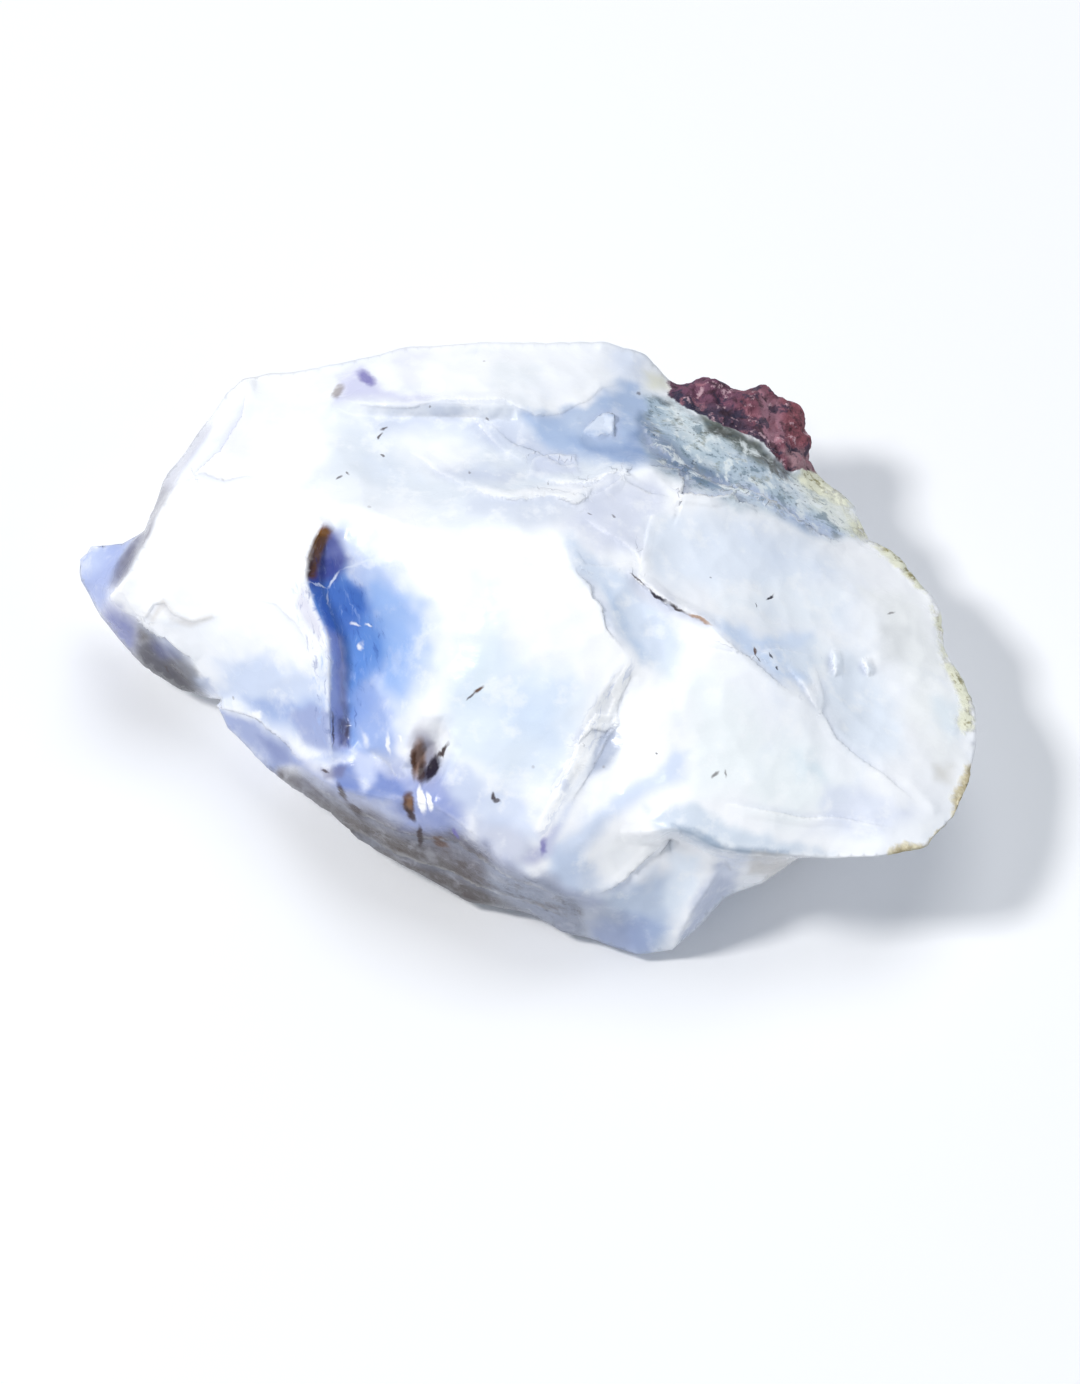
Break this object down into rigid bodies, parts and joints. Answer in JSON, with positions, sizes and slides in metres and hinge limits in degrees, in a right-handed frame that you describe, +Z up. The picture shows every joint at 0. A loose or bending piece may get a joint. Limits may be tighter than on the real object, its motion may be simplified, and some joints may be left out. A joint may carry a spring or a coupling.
{
  "type": "rough opal specimen",
  "caption": "Loose rough piece of milky white opal with shell-like broken facets, a blue pocket and a scab of maroon host rock; rests on a flat broken face.",
  "frame": {"origin": "middle of the stone's footprint box, on the surface that it rests on", "axes": "+X along the longest way, from the thin flange to the broad rounded end; +Y away from the pictured side; +Z up"},
  "size_m": [0.09, 0.0612, 0.0313],
  "materials": {
    "opal": "milky white and pale blue, slightly translucent, waxy gloss, with a matt maroon scab of host rock"
  },
  "bodies": {
    "root": {"rough_opal": "opal"}
  },
  "joints": []
}
